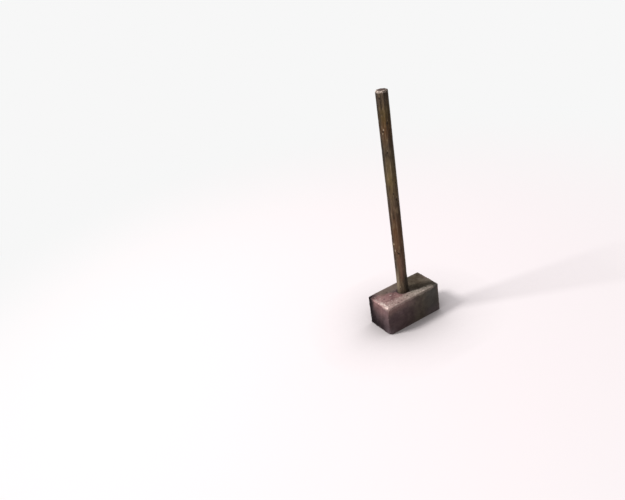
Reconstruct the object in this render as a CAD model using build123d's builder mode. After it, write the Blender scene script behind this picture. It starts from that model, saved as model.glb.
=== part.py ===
from build123d import *
import os

# A blacksmith's sledgehammer standing on the wedge side of its head, haft
# straight up.  The frame has its origin on the haft's axis at the underside of
# the head, +Z up the haft, +X from one striking face to the other and +Y from
# cheek to cheek.  All lengths are millimetres.

os.makedirs("parts", exist_ok=True)

# ---------------------------------------------------------------- driving sizes
head_length = 192.0      # striking face to striking face, along X
head_width = 94.0        # cheek to cheek, along Y
head_height = 94.0       # wedge side to haft side, along Z
overall_height = 710.0   # underside of the head to the butt of the haft
face_bevel = 4.0         # 45 degree bevel round each striking face
body_radius = 4.0        # rounding of the four long body edges

# The eye is an hourglass: wide where the haft enters, narrowest at the waist,
# widest on the wedge side where the spread tenon locks it.
eye_top = (34.0, 31.0, 9.2, 8.0)      # X size, Y size, corner cut, corner radius
eye_waist = (31.5, 28.0, 8.6, 8.5)
eye_bottom = (36.0, 32.5, 9.6, 8.5)
eye_waist_z = 44.0
mouth_depth = 2.0        # countersink round the eye on the haft side
mouth_flare = 1.8
foot_depth = 2.0         # smaller countersink on the wedge side
foot_flare = 1.8

# The haft is an eight sided shaft with eased arrises, a little deeper along X
# than across Y, and slowly thicker towards the butt.
haft_stations = [        # height, X size, Y size, corner cut, corner radius
    (head_height, 34.0, 31.0, 9.2, 8.0),
    (112.0, 33.0, 30.5, 9.3, 5.0),
    (150.0, 31.9, 30.0, 9.1, 3.6),
    (330.0, 32.1, 30.4, 9.2, 3.6),
    (540.0, 32.3, 30.7, 9.3, 3.8),
    (707.0, 32.7, 31.1, 9.4, 4.0),
]
butt_bevel = 3.0         # the butt is eased over this height
end_recess = 1.0         # tenon and wedges are trimmed this far inside the head

# Wooden wedge, driven into the saw kerf along the eye's long axis.
kerf_depth = 58.0
wedge_thick = 7.0
wedge_tip = 1.2

# Two steel wedges driven across the wooden one.
steel_wedge_offset = 8.5
steel_wedge_width = 22.0
steel_wedge_length = 34.0
steel_wedge_thick = 4.4
steel_wedge_tip = 0.9


def eight_sided(height, size_x, size_y, cut, radius):
    """A rounded eight sided section on a level plane."""
    with BuildSketch(Plane.XY.offset(height)) as section:
        Rectangle(size_x, size_y)
        chamfer(section.vertices(), cut)
        fillet(section.vertices(), radius)
    return section.sketch


def between(low, high, share):
    """A section part of the way from one to another."""
    return tuple(a + (b - a) * share for a, b in zip(low, high))


# -------------------------------------------------------------------- eye shape
# The solid that fills the whole eye, from underside to haft side.  The head is
# cut by it and the tenon is made of it, so both share the same walls.
with BuildPart() as eye_lower:
    loft(
        sections=[
            eight_sided(0.0, *eye_bottom),
            eight_sided(eye_waist_z, *eye_waist),
        ],
        ruled=True,
    )

with BuildPart() as eye_upper:
    loft(
        sections=[
            eight_sided(eye_waist_z, *eye_waist),
            eight_sided(head_height, *eye_top),
        ],
        ruled=True,
    )

mouth_section = between(
    eye_waist,
    eye_top,
    (head_height - mouth_depth - eye_waist_z) / (head_height - eye_waist_z),
)
with BuildPart() as mouth:
    loft(
        sections=[
            eight_sided(head_height - mouth_depth, *mouth_section),
            eight_sided(
                head_height,
                eye_top[0] + 2 * mouth_flare,
                eye_top[1] + 2 * mouth_flare,
                eye_top[2] + 0.59 * mouth_flare,
                eye_top[3] + mouth_flare,
            ),
        ],
        ruled=True,
    )

foot_section = between(eye_bottom, eye_waist, foot_depth / eye_waist_z)
with BuildPart() as foot:
    loft(
        sections=[
            eight_sided(
                0.0,
                eye_bottom[0] + 2 * foot_flare,
                eye_bottom[1] + 2 * foot_flare,
                eye_bottom[2] + 0.59 * foot_flare,
                eye_bottom[3] + foot_flare,
            ),
            eight_sided(foot_depth, *foot_section),
        ],
        ruled=True,
    )

# ------------------------------------------------------------------ hammer head
# A plain square section block, both ends flat striking faces with a bevel.
with BuildPart() as hammer_head:
    with BuildSketch(Plane.YZ.offset(-head_length / 2)) as block:
        with Locations((0, head_height / 2)):
            RectangleRounded(head_width, head_height, body_radius)
    extrude(amount=head_length)
    chamfer(
        hammer_head.faces().sort_by(Axis.X)[0].edges()
        + hammer_head.faces().sort_by(Axis.X)[-1].edges(),
        face_bevel,
    )
    add(eye_lower.part, mode=Mode.SUBTRACT)
    add(eye_upper.part, mode=Mode.SUBTRACT)
    add(mouth.part, mode=Mode.SUBTRACT)
    add(foot.part, mode=Mode.SUBTRACT)
hammer_head.part.label = "hammer_head"

# ------------------------------------------------------------------ steel wedges
# Thin stepped tapers, thick end level with the trimmed tenon.  Each face has
# three short steps that bite into the wood.
steel_wedge_top_z = end_recess + steel_wedge_length


def steel_wedge_profile():
    """The wedge seen from its edge: thickness along X, length along Z."""
    half = steel_wedge_thick / 2
    tip = steel_wedge_tip / 2
    bite = 0.35
    run = steel_wedge_length / 4
    slope = (half - tip) / 4
    side = []
    for step in range(4):
        z = end_recess + step * run
        here = half - step * slope
        side.append((here + bite * 0.5 if step else here, z))
        if step < 3:
            side.append((here - slope - bite * 0.5, z + run))
    side.append((tip, steel_wedge_top_z))
    return side + [(-x, z) for x, z in reversed(side)]


with BuildPart() as steel_wedge_left:
    with BuildSketch(Plane.XZ.offset(-steel_wedge_width / 2)) as left_profile:
        with BuildLine():
            Polyline(
                [(x - steel_wedge_offset, z) for x, z in steel_wedge_profile()],
                close=True,
            )
        make_face()
    extrude(amount=steel_wedge_width)
steel_wedge_left.part.label = "steel_wedge_left"

with BuildPart() as steel_wedge_right:
    with BuildSketch(Plane.XZ.offset(-steel_wedge_width / 2)) as right_profile:
        with BuildLine():
            Polyline(
                [(x + steel_wedge_offset, z) for x, z in steel_wedge_profile()],
                close=True,
            )
        make_face()
    extrude(amount=steel_wedge_width)
steel_wedge_right.part.label = "steel_wedge_right"

# ------------------------------------------------------------------ wooden wedge
# A long taper across the whole eye, its two narrow ends shaped by the eye wall.
with BuildPart() as kerf:
    with BuildSketch(Plane.YZ.offset(-head_width / 2)) as kerf_profile:
        with BuildLine():
            Polyline(
                [
                    (-wedge_thick / 2, end_recess),
                    (wedge_thick / 2, end_recess),
                    (wedge_tip / 2, end_recess + kerf_depth),
                    (-wedge_tip / 2, end_recess + kerf_depth),
                ],
                close=True,
            )
        make_face()
    extrude(amount=head_width)

with BuildPart() as wood_wedge:
    add(eye_lower.part)
    add(eye_upper.part)
    add(kerf.part, mode=Mode.INTERSECT)
    add(steel_wedge_left.part, mode=Mode.SUBTRACT)
    add(steel_wedge_right.part, mode=Mode.SUBTRACT)
wood_wedge.part.label = "wood_wedge"

# ------------------------------------------------------------------------- haft
# Tenon through the eye, slotted for the wedges, and the eight sided shaft above.
with BuildPart() as handle:
    add(eye_lower.part)
    add(eye_upper.part)
    for lower, upper in zip(haft_stations, haft_stations[1:]):
        loft(
            sections=[eight_sided(*lower), eight_sided(*upper)],
            ruled=True,
        )
    top = haft_stations[-1]
    loft(
        sections=[
            eight_sided(*top),
            eight_sided(
                overall_height,
                top[1] - 2 * butt_bevel,
                top[2] - 2 * butt_bevel,
                top[3] - 0.59 * butt_bevel,
                top[4] - 0.4 * butt_bevel,
            ),
        ],
        ruled=True,
    )
    # trim the tenon inside the head
    with BuildSketch(Plane.XY.offset(-5)) as trim:
        Rectangle(60, 60)
    extrude(amount=5 + end_recess, mode=Mode.SUBTRACT)
    # saw kerf and the slots that the steel wedges have made
    add(kerf.part, mode=Mode.SUBTRACT)
    add(steel_wedge_left.part, mode=Mode.SUBTRACT)
    add(steel_wedge_right.part, mode=Mode.SUBTRACT)
handle.part.label = "handle"

for piece in (hammer_head, handle, wood_wedge, steel_wedge_left, steel_wedge_right):
    export_step(piece.part, f"parts/{piece.part.label}.step")
    print(
        piece.part.label,
        len(piece.part.solids()),
        round(piece.part.volume),
        piece.part.is_valid,
    )
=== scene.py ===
import math

import bmesh
import bpy
import numpy as np
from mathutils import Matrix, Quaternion, Vector


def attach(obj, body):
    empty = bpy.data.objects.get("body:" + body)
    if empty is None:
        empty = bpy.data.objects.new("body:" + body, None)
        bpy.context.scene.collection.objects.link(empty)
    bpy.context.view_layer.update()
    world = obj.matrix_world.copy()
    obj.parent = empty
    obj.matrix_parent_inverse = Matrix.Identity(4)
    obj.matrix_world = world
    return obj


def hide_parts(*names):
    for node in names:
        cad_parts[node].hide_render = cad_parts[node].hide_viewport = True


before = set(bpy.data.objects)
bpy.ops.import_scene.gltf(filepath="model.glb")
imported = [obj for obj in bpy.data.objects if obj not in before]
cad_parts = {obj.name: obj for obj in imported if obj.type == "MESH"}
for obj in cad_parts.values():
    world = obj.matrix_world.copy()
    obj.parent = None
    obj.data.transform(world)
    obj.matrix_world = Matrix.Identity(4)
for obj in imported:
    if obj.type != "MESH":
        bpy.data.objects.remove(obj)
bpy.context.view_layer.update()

MM = 0.001


# --------------------------------------------------------------------- camera
# f = 631 px on a 625 px wide frame, no shift: the same eye point as the picture.
cam_data = bpy.data.cameras.new("camera")
cam_data.sensor_width = 36.0
cam_data.lens = 36.0 * 631.0 / 625.0
cam_data.clip_start, cam_data.clip_end = 0.05, 200.0
cam = bpy.data.objects.new("camera", cam_data)
bpy.context.scene.collection.objects.link(cam)
cam.rotation_mode = "QUATERNION"
cam.location = (-0.9275, -1.301, 1.1669)
cam.rotation_quaternion = Quaternion((0.817191, 0.501652, -0.0708, -0.27483)).normalized()
bpy.context.scene.camera = cam


# ---------------------------------------------------------------------- noise
def _hash(ix, iy, iz, seed):
    h = (
        ix.astype(np.int64) * 73856093
        ^ iy.astype(np.int64) * 19349663
        ^ iz.astype(np.int64) * 83492791
        ^ np.int64(seed) * 2654435761
    ) & 0xFFFFFFFF
    h = (h ^ (h >> 16)) * 0x45D9F3B & 0xFFFFFFFF
    h = (h ^ (h >> 16)) * 0x45D9F3B & 0xFFFFFFFF
    return (h ^ (h >> 16)) & 0xFFFFFFFF


def perlin(p, seed=0):
    """Gradient noise, about -1 to 1, for points p of shape (n, 3)."""
    cell = np.floor(p)
    f = p - cell
    u = f * f * f * (f * (f * 6 - 15) + 10)
    total = np.zeros(len(p))
    for dx in (0, 1):
        for dy in (0, 1):
            for dz in (0, 1):
                h = _hash(cell[:, 0] + dx, cell[:, 1] + dy, cell[:, 2] + dz, seed)
                a = (h & 0xFFFF) / 65536.0 * 2 * np.pi
                z = ((h >> 16) & 0xFFFF) / 32768.0 - 1.0
                r = np.sqrt(np.maximum(0.0, 1 - z * z))
                dot = (
                    r * np.cos(a) * (f[:, 0] - dx)
                    + r * np.sin(a) * (f[:, 1] - dy)
                    + z * (f[:, 2] - dz)
                )
                w = (
                    (u[:, 0] if dx else 1 - u[:, 0])
                    * (u[:, 1] if dy else 1 - u[:, 1])
                    * (u[:, 2] if dz else 1 - u[:, 2])
                )
                total += w * dot
    return total * 1.6


def fbm(p, octaves=4, seed=0, gain=0.5):
    total, amp, norm = np.zeros(len(p)), 1.0, 0.0
    for k in range(octaves):
        total += amp * perlin(p * 2.03**k + 17.3 * k, seed + 31 * k)
        norm += amp
        amp *= gain
    return total / norm


def cells(p, seed=0):
    """Distances to the nearest and second nearest cell point, and the nearest cell's own number from 0 to 1."""
    base = np.floor(p)
    f1 = np.full(len(p), 9.0)
    f2 = np.full(len(p), 9.0)
    own = np.zeros(len(p))
    for dx in (-1, 0, 1):
        for dy in (-1, 0, 1):
            for dz in (-1, 0, 1):
                c = base + (dx, dy, dz)
                h = _hash(c[:, 0], c[:, 1], c[:, 2], seed)
                h2 = _hash(c[:, 0], c[:, 1], c[:, 2], seed + 101)
                q = c + np.stack(
                    [(h & 0x3FF) / 1024.0, ((h >> 10) & 0x3FF) / 1024.0, ((h >> 20) & 0x3FF) / 1024.0],
                    1,
                )
                d = np.linalg.norm(p - q, axis=1)
                near = d < f1
                f2 = np.where(near, f1, np.minimum(f2, d))
                own = np.where(near, (h2 & 0xFFFF) / 65536.0, own)
                f1 = np.where(near, d, f1)
    return f1, f2, own


def smooth(a, b, x):
    t = np.clip((x - a) / (b - a), 0, 1)
    return t * t * (3 - 2 * t)


# -------------------------------------------------------------- mesh building
def quads_mesh(name, verts, faces, attributes=None):
    """verts in metres, faces a list of index arrays."""
    mesh = bpy.data.meshes.new(name)
    mesh.from_pydata(verts.tolist(), [], faces)
    mesh.validate()
    mesh.update()
    for key, values in (attributes or {}).items():
        a = mesh.attributes.new(key, "FLOAT", "POINT")
        a.data.foreach_set("value", values.astype(np.float32))
    mesh.shade_smooth()
    o = bpy.data.objects.new(name, mesh)
    bpy.context.scene.collection.objects.link(o)
    return o


def vertex_normals(verts, quads):
    a, b, c, d = (verts[quads[:, k]] for k in range(4))
    n = np.cross(c - a, d - b)
    out = np.zeros_like(verts)
    for k in range(4):
        np.add.at(out, quads[:, k], n)
    return out / np.maximum(np.linalg.norm(out, axis=1), 1e-12)[:, None]


def ring_quads(rings, around, start=0, close=False):
    """Quads between successive rings of the same number of points."""
    k = np.arange(around)
    k2 = (k + 1) % around
    out = []
    count = rings if close else rings - 1
    for r in range(count):
        a = start + r * around
        b = start + ((r + 1) % rings) * around
        out.append(np.stack([a + k, a + k2, b + k2, b + k], 1))
    return np.concatenate(out)


# Section of the eye and the haft: eight flats, each a distance from the axis,
# blended by a power so that the corners between them are eased.
PHI = np.arange(8) * math.pi / 4


def octagon_radius(theta, half_x, half_y, cut, power, wobble=None):
    """Radius at each angle. half_x, half_y and cut are in mm; wobble is (n, 8) added to the flats' distances."""
    diagonal = (half_x + half_y - cut) / math.sqrt(2)
    d = [half_x, diagonal, half_y, diagonal, half_x, diagonal, half_y, diagonal]
    total = np.zeros_like(theta)
    for i in range(8):
        c = np.maximum(np.cos(theta - PHI[i]), 0.0)
        di = d[i] if wobble is None else d[i] + wobble[:, i]
        total = total + (c / di) ** power
    return total ** (-1.0 / power)


# ================================================================ hammer head
HX, HY, HZ = 96.0, 47.0, 94.0          # half length, half width, height in mm


def eye_size(z):
    """X size, Y size and corner cut of the eye at a height."""
    if z <= 44:
        s = z / 44.0
        return 36 + (31.5 - 36) * s, 32.5 + (28 - 32.5) * s, 9.6 + (8.6 - 9.6) * s
    s = (z - 44) / 50.0
    return 31.5 + 2.5 * s, 28 + 3.0 * s, 8.6 + 0.6 * s


def head_mesh():
    rng = np.random.default_rng(7)
    nx, ny, nz = 152, 76, 76
    # one loop round the block, counter-clockwise from above, starting at (+x, -y),
    # a little denser towards the corners
    t = lambda n: np.linspace(0, 1, n, endpoint=False)
    e = lambda u: u - 0.045 * np.sin(2 * np.pi * u)
    px = np.concatenate([
        np.full(ny, HX), HX - 2 * HX * e(t(nx)), np.full(ny, -HX), -HX + 2 * HX * e(t(nx)),
    ])
    py = np.concatenate([
        -HY + 2 * HY * e(t(ny)), np.full(nx, HY), HY - 2 * HY * e(t(ny)), np.full(nx, -HY),
    ])
    around = len(px)
    theta = np.arctan2(py, px)
    rings = []
    kinds = []

    def eye(z, grow=0.0):
        """The eye wall's radius in mm at a height."""
        lx, ly, c = eye_size(z)
        return octagon_radius(theta, lx / 2 + grow, ly / 2 + grow, c + 0.59 * grow, 22.0)

    # up the eye wall, out over the haft side, down the sides, in under the wedge side
    for z in np.linspace(2.2, 91.8, 16):
        r = eye(z)
        rings.append(np.stack([r * np.cos(theta), r * np.sin(theta), np.full(around, z)], 1))
        kinds.append(0)
    for z, grow in ((92.3, 0.2), (92.9, 0.55), (93.4, 0.95), (93.75, 1.4), (94.0, 2.0)):
        r = eye(min(z, 94.0), grow)
        rings.append(np.stack([r * np.cos(theta), r * np.sin(theta), np.full(around, z)], 1))
        kinds.append(1)
    r0 = eye(94.0, 2.0)
    ex, ey = r0 * np.cos(theta), r0 * np.sin(theta)
    n_top = 54
    for k in range(1, n_top + 1):
        s = k / n_top
        s = s - 0.035 * math.sin(2 * math.pi * s)
        rings.append(np.stack([ex + (px - ex) * s, ey + (py - ey) * s, np.full(around, HZ)], 1))
        kinds.append(2)
    for k in range(1, nz):
        s = k / nz
        s = s - 0.045 * math.sin(2 * math.pi * s)
        rings.append(np.stack([px, py, np.full(around, HZ * (1 - s))], 1))
        kinds.append(3)
    r1 = eye(0.0, 2.2)
    fx, fy = r1 * np.cos(theta), r1 * np.sin(theta)
    n_under = 34
    for k in range(n_under):
        s = k / n_under
        s = s - 0.05 * math.sin(2 * math.pi * s)
        rings.append(np.stack([px + (fx - px) * s, py + (fy - py) * s, np.zeros(around)], 1))
        kinds.append(4)
    for z, grow in ((0.0, 2.2), (0.5, 1.4), (1.3, 0.6)):
        r = eye(z, grow)
        rings.append(np.stack([r * np.cos(theta), r * np.sin(theta), np.full(around, z)], 1))
        kinds.append(5)
    v = np.concatenate(rings)
    kind = np.repeat(np.array(kinds), around)
    quads = ring_quads(len(rings), around, close=True)

    # ---- the outer skin: a block whose edges are worn to a varying radius
    outer = (kind >= 2) & (kind <= 4)
    p = v[outer].copy()
    q = p - (0, 0, HZ / 2)
    half = np.array([HX, HY, HZ / 2])
    bell = lambda d, w: np.exp(-((d / w) ** 2))
    rim = smooth(14, 2, HX - np.abs(q[:, 0]))
    radius = 2.6 + 0.9 * fbm(p / 17.0, 3, seed=3) + 0.2 * rim + 0.5 * fbm(p / 5.0, 2, seed=9) * rim
    # the near arris of the haft side, the top of the near striking face and the
    # upright arris between them are rubbed round; the foot of that arris most
    up, near, end = p[:, 2] - HZ, p[:, 1] + HY, p[:, 0] + HX
    radius += 3.6 * bell(np.hypot(up, near), 13) * smooth(100, -70, p[:, 0])
    radius += 4.2 * bell(np.hypot(up, end), 12) * smooth(30, -20, p[:, 1])
    radius += (1.6 + 4.4 * smooth(30, 2, p[:, 2])) * bell(np.hypot(near, end), 11)
    radius = np.clip(radius, 2.0, 9.5)[:, None]
    core = half - radius
    inside = np.clip(np.abs(q), 0, core)
    d = np.abs(q) - inside
    length = np.linalg.norm(d, axis=1)[:, None]
    q = np.sign(q) * (inside + np.where(length > 1e-9, radius * d / np.maximum(length, 1e-9), 0))
    p = q + (0, 0, HZ / 2)
    v[outer] = p

    # ---- distances used for shaping and colour
    ax = HX - np.abs(v[:, 0])
    ay = HY - np.abs(v[:, 1])
    az = np.minimum(v[:, 2], HZ - v[:, 2])
    order = np.sort(np.stack([ax, ay, az], 1), axis=1)
    edge = order[:, 1]                     # distance to the nearest block edge
    on_face = np.abs(v[:, 0]) > HX - 3.0   # striking faces
    on_top = v[:, 2] > HZ - 6.0

    n = vertex_normals(v, quads)
    depth = np.zeros(len(v))               # mm inwards
    # the blows have spread both ends: the body between them is slightly waisted
    depth += 0.4 * smooth(5.0, 26.0, ax)
    # broad forging marks and slack planes
    f1, f2, own = cells(v / 17.0 + fbm(v / 30.0, 2, seed=5)[:, None] * 0.35, seed=21)
    depth += 0.36 * smooth(0.12, 0.75, f1) * (~on_face)
    depth += 0.30 * (0.5 + 0.5 * fbm(v / 42.0, 3, seed=2))
    depth += 0.15 * (0.5 + 0.5 * fbm(v / 7.0, 3, seed=4))
    # scale pits in patches
    pits, _, pit_own = cells(v / 4.6, seed=33)
    patch = smooth(0.05, 0.45, fbm(v / 26.0, 3, seed=12))
    pit = smooth(0.42, 0.12, pits) * (pit_own > 0.45) * patch
    small, _, small_own = cells(v / 2.3, seed=35)
    pit2 = smooth(0.45, 0.1, small) * (small_own > 0.62) * smooth(-0.25, 0.3, fbm(v / 20.0, 3, seed=14))
    depth += 0.34 * pit + 0.2 * pit2

    # dents: (centre, radius, depth) spread over edges, rims and striking faces
    dents = []

    def edge_point():
        kind_of = rng.integers(0, 3)
        s = [rng.choice([-1, 1]), rng.choice([-1, 1])]
        if kind_of == 0:       # along X
            return np.array([rng.uniform(-92, 92), s[0] * HY, HZ if s[1] > 0 else 0.0])
        if kind_of == 1:       # along Y
            return np.array([s[0] * HX, rng.uniform(-44, 44), HZ if s[1] > 0 else 0.0])
        return np.array([s[0] * HX, s[1] * HY, rng.uniform(3, 91)])

    for _ in range(80):
        c = edge_point()
        r = rng.uniform(1.8, 5.5)
        dents.append((c, r, r * rng.uniform(0.10, 0.26)))
    for _ in range(46):
        s = rng.choice([-1, 1])
        a = rng.uniform(0, 2 * np.pi)
        rr = 40 * math.sqrt(rng.uniform(0, 1))
        c = np.array([s * HX, rr * math.cos(a), HZ / 2 + rr * math.sin(a)])
        r = rng.uniform(2.2, 9.0)
        dents.append((c, r, min(0.7, r * rng.uniform(0.04, 0.12))))
    for _ in range(34):
        s = rng.choice([-1, 1])
        if rng.uniform() < 0.5:
            c = np.array([rng.uniform(-85, 85), s * HY, rng.uniform(8, 88)])
        else:
            c = np.array([rng.uniform(-85, 85), rng.uniform(-40, 40), HZ if s > 0 else 0.0])
        r = rng.uniform(1.4, 4.5)
        dents.append((c, r, r * rng.uniform(0.06, 0.16)))
    # small chips on the haft side and its near arris, some bright, some dark with dirt
    bright_chips = [(2, -20, 2.6), (28, -30, 2.6), (42, -43, 2.6), (40, -33, 2.0), (15, -39, 2.2), (66, -44, 2.2), (-62, -43, 2.4),
                    (-93, -13, 2.6), (-44, 6, 2.0), (-90, 16, 2.2), (-91, 7, 1.7), (-78, 14, 2.0),
                    (-48, -30, 2.0), (-70, -36, 1.8), (-12, -42, 1.8), (-30, -22, 1.6), (-84, 30, 1.8), (-57, -18, 1.6),
                    (22, -40, 1.8), (-20, -34, 1.8), (55, -38, 1.6)]
    dark_chips = [(39, -25, 2.4), (-50, -41, 2.6), (-64, -30, 2.0), (-8, -30, 2.2), (10, -27, 1.8), (-36, -38, 2.2), (60, -34, 2.0),
                  (-70, 2, 1.8), (-42, 26, 2.0), (-88, -30, 1.8), (82, 34, 2.2), (30, 26, 2.0)]
    for cx, cy, r in bright_chips:
        dents.append((np.array([cx, cy, HZ]), 0.8 * r, r * 0.16))
    for cx, cy, r in dark_chips:
        dents.append((np.array([cx, cy, HZ]), r, r * 0.26))
    dent_amount = np.zeros(len(v))
    for c, r, h in dents:
        dist = np.linalg.norm(v - c, axis=1)
        near_it = dist < 2.2 * r
        g = np.exp(-((dist[near_it] / r) ** 2) * 1.6)
        dent_amount[near_it] = np.maximum(dent_amount[near_it], g * h)
    depth += dent_amount
    # long scratches and gouges on the cheeks and the haft side
    scratch = np.zeros(len(v))
    for _ in range(26):
        face = rng.choice(["y", "z", "x"], p=[0.5, 0.3, 0.2])
        if face == "y":
            c = np.array([rng.uniform(-80, 80), rng.choice([-1, 1]) * HY, rng.uniform(10, 85)])
            dr = np.array([math.cos(a0 := rng.uniform(-0.9, 0.9)), 0, math.sin(a0)])
        elif face == "z":
            c = np.array([rng.uniform(-80, 80), rng.uniform(-38, 38), HZ])
            dr = np.array([math.cos(a0 := rng.uniform(0, math.pi)), math.sin(a0), 0])
        else:
            c = np.array([rng.choice([-1, 1]) * HX, rng.uniform(-38, 38), rng.uniform(8, 86)])
            dr = np.array([0, math.cos(a0 := rng.uniform(0, math.pi)), math.sin(a0)])
        half_len = rng.uniform(4, 16)
        along = np.clip((v - c) @ dr, -half_len, half_len)
        dist = np.linalg.norm(v - c - along[:, None] * dr, axis=1)
        taper = 1 - (np.abs(along) / half_len) ** 2
        scratch = np.maximum(scratch, np.exp(-((dist / 0.9) ** 2)) * taper * (dist < 4))
    depth += 0.28 * scratch
    inner = (kind <= 1) | (kind == 5)
    depth[inner] *= 0.25
    v = v - n * depth[:, None]
    v[:, 0] = np.clip(v[:, 0], -HX, HX)
    v[:, 1] = np.clip(v[:, 1], -HY, HY)
    v[:, 2] = np.clip(v[:, 2], 0.0, HZ)

    # ---- where the colours lie
    x, y, z = v[:, 0], v[:, 1], v[:, 2]
    slow = fbm(v / 30.0, 4, seed=51)
    mid = fbm(v / 9.0, 4, seed=53)
    quick = fbm(v / 3.2, 3, seed=55)
    near_end = (ax < ay) & (x < 0)
    # rubbed, pinkish brown bare steel on the near end's upper part: in front of a
    # slanting line on the haft side, and fading down the end and the near cheek
    line = -0.651 * (x + 70) - 0.759 * (y - 45) + 8 * slow + 5 * mid
    bloom = smooth(-5, 9, line)
    down_end = 0.72 * smooth(12, 100, z + 7 * slow + 5 * mid) * smooth(40, 18, y + 4 * mid)
    down_cheek = 0.46 * smooth(56, 98, z + 5 * slow + 3 * mid + 7 * smooth(-20, -80, x)) * smooth(6, -40, x + 6 * mid)
    side_face = np.where(ax < ay, down_end, down_cheek)
    bloom = bloom * np.where(on_top, smooth(42, 14, y + 4 * mid), side_face)
    # weaker patches of the same elsewhere, so that the far sides belong to it
    patches = smooth(0.08, 0.42, fbm(v / 24.0, 4, seed=57)) * smooth(10, 85, z + 14 * mid)
    bloom = np.maximum(bloom, 0.55 * patches * smooth(-40, 10, x) * (ax < 8))
    bloom = np.maximum(bloom, 0.5 * patches * smooth(10, 30, y) * (ay < 8))
    # paler, greyer band along the near arris of the haft side
    pale = smooth(-14, -26, y + 0.17 * np.maximum(x, 0) + 6 * mid + 4 * slow) * smooth(100, 62, x + 12 * slow + 8 * mid)
    pale = pale * smooth(80, 92, z + 3 * mid) * (0.75 + 0.5 * quick)
    pale = np.maximum(pale, 0.55 * bell(np.hypot(z - HZ, y + HY), 5.5) * smooth(100, 60, x) * (0.8 + 0.6 * mid))
    # most rubbed, with a painted highlight, where the haft side, the near end and the near cheek meet
    rub = smooth(50, 12, np.hypot(x + 92, 0.85 * (y + 12)) + 6 * mid) * smooth(88, 93.5, z + 2 * mid) * (0.85 + 0.8 * quick)
    # the upper cheeks towards the near end are paler and pinker: rubbed steel with a painted highlight, fading
    # downwards and towards the far end
    lip = smooth(60, 84, z + 5 * mid) * smooth(12, -25, x + 8 * slow) * (ay < 8) * (z < 93)
    # painted highlight: a soft grey sheen on the end face beside the near upright arris
    sheen = np.where(near_end, bell(y + 42 - 10 * smooth(60, 5, z), 17.0), 0.0) * smooth(2, 34, z + 6 * slow) * smooth(98, 84, z)
    sheen = sheen * (0.85 + 0.5 * mid)
    # painted shade: darker towards the bottom of the head, most on the near end, and along the near end's far upright
    # arris
    lower_shade = np.where(near_end, smooth(88, 14, z + 7 * slow + 4 * mid - 0.22 * y), 0.30 * smooth(74, 40, z + 7 * slow + 4 * mid) * smooth(-2, 26, z))
    # painted shade along the far upright arris of the near end, over the end, the far cheek and the top corner
    away = np.hypot(np.maximum(HY - y, 0), 0.8 * np.maximum(x + HX, 0))
    edge_shade_mask = smooth(31, 7, away + 8 * mid + 4 * quick - 9 * smooth(60, 10, z)) * (x < 0)
    edge_shade_mask = edge_shade_mask * np.maximum(smooth(99, 88, z + 3 * mid), smooth(17, 7, away + 3 * mid)) * np.where(near_end, 1.0, 0.72)
    lower_shade = np.maximum(lower_shade, edge_shade_mask)
    # painted shade low on the near end, away from its near upright arris
    under = near_end * smooth(38, 8, z + 4 * mid) * smooth(-34, -4, y + 4 * mid)
    # a darker brown patch fanning out from the haft towards the far end
    fan_dark = smooth(14, 24, x + 5 * mid) * smooth(96, 58, x + 8 * slow) * smooth(-22, -14, y + 0.16 * x + 3 * mid) * smooth(46, 24, y + 5 * mid)
    fan_dark = np.maximum(fan_dark, 0.85 * smooth(6, 22, x + 5 * mid) * smooth(2, 20, y + 5 * mid))
    fan_dark = fan_dark * (z > 88)
    # edges: softly paler all along, bright only in places
    corner = bell(np.hypot(y + HY, x + HX), 9.0) * smooth(94, 84, z)
    broad = smooth(8.0, 1.0, edge) * (0.5 + 0.6 * mid) * (1 - edge_shade_mask) * (1 - corner)
    broad = broad * (1 - 0.7 * bell(np.hypot(z - HZ, x + HX), 12.0))
    spots = smooth(0.05, 0.45, fbm(v / 19.0, 3, seed=59))
    bright = smooth(4.2, 1.0, edge) * spots * smooth(-0.35, 0.35, quick + 0.4 * mid)
    bright *= 0.75 * smooth(4, 16, z) * (1 - 0.8 * corner)
    up_all = z - HZ
    # bare metal worn on the near end's top edge, with a painted highlight along it: shine almost white, streak paler
    shine = 1.25 * bell(np.hypot(0.7 * up_all, x + HX - 7.8 - 3.5 * mid), 3.3) * smooth(8, -14, y) * smooth(-45, -37, y) * (0.85 + 1.3 * quick)
    streak = 0.2 * bell(np.hypot(up_all, x + HX - 4.5 - 4 * mid), 5.2) * smooth(6, -8, y) * smooth(-45, -36, y) * (0.75 + 0.9 * quick + 0.3 * mid)
    bright = np.maximum(bright, 1.2 * streak)
    bright = np.maximum(bright, 0.5 * bell(np.hypot(up_all, y + HY), 4.5) * smooth(50, -10, x) * smooth(-0.3, 0.4, mid))
    bright = np.maximum(bright, 0.5 * smooth(0.22, 0.9, dent_amount) * (z > 12))
    bright = np.maximum(bright, 0.55 * scratch)
    ragged = 1 + 0.9 * quick
    for cx, cy, r in bright_chips:
        bright = np.maximum(bright, 1.4 * np.exp(-((np.linalg.norm((v - (cx, cy, HZ)) / (1.3, 0.9, 1), axis=1) * ragged / (1.15 * r)) ** 2)))
    bright = bright * (1 - edge_shade_mask)
    struck = smooth(6.0, 1.0, ax) * smooth(44, 20, np.hypot(y, z - HZ / 2) + 9 * mid)
    struck *= np.where(x > 0, 1.0, 0.0) * smooth(0, 40, z)
    cavity = np.clip(0.9 * pit + 0.8 * pit2 + smooth(0.55, 0.85, f1) * 0.2, 0, 1)
    for cx, cy, r in dark_chips:
        cavity = np.maximum(cavity, 1.3 * np.exp(-((np.linalg.norm(v - (cx, cy, HZ), axis=1) / (1.2 * r)) ** 2)))
    eye_r = np.hypot(x, y * 1.08)
    # painted shade round the eye's mouth on the top and over the whole eye wall
    eye_shade = smooth(25, 17, eye_r + 3 * mid) * (z > 85)
    for mask in (shine, bloom, pale, bright, broad, struck, sheen, fan_dark, rub, lip, edge_shade_mask):
        mask[inner] = 0.0
    eye_shade[inner] = 1.0
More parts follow.
